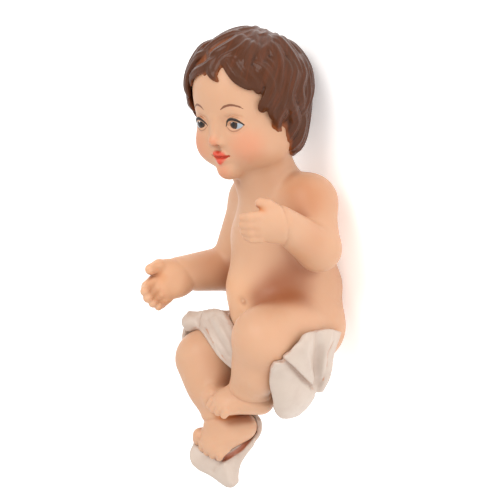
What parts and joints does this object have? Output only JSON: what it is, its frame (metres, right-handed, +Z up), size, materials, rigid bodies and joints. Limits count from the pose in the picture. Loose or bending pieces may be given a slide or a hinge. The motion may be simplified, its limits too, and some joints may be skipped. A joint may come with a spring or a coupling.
{
  "type": "infant figurine for a crib",
  "caption": "Small cast figurine of a lying infant with raised arms and crossed feet, wavy hair and a loose cloth round the hips, for a crib or nativity scene.",
  "frame": {"origin": "middle of the bounding box's underside, on the table that the figure lies on", "axes": "+X to the figure's left, +Y along the body towards the crown, +Z up, the way the belly faces"},
  "size_m": [0.036, 0.0784, 0.0315],
  "materials": {
    "flesh_paint": "satin translucent cast resin, airbrushed darker in the hollows",
    "hair_paint": "brown enamel, brushed over the locks",
    "cloth_paint": "off-white satin enamel, thin at the folds",
    "eye_paint": "hand-painted eyes under a gloss varnish"
  },
  "bodies": {
    "root": {"infant_figurine": "flesh_paint"}
  },
  "joints": []
}
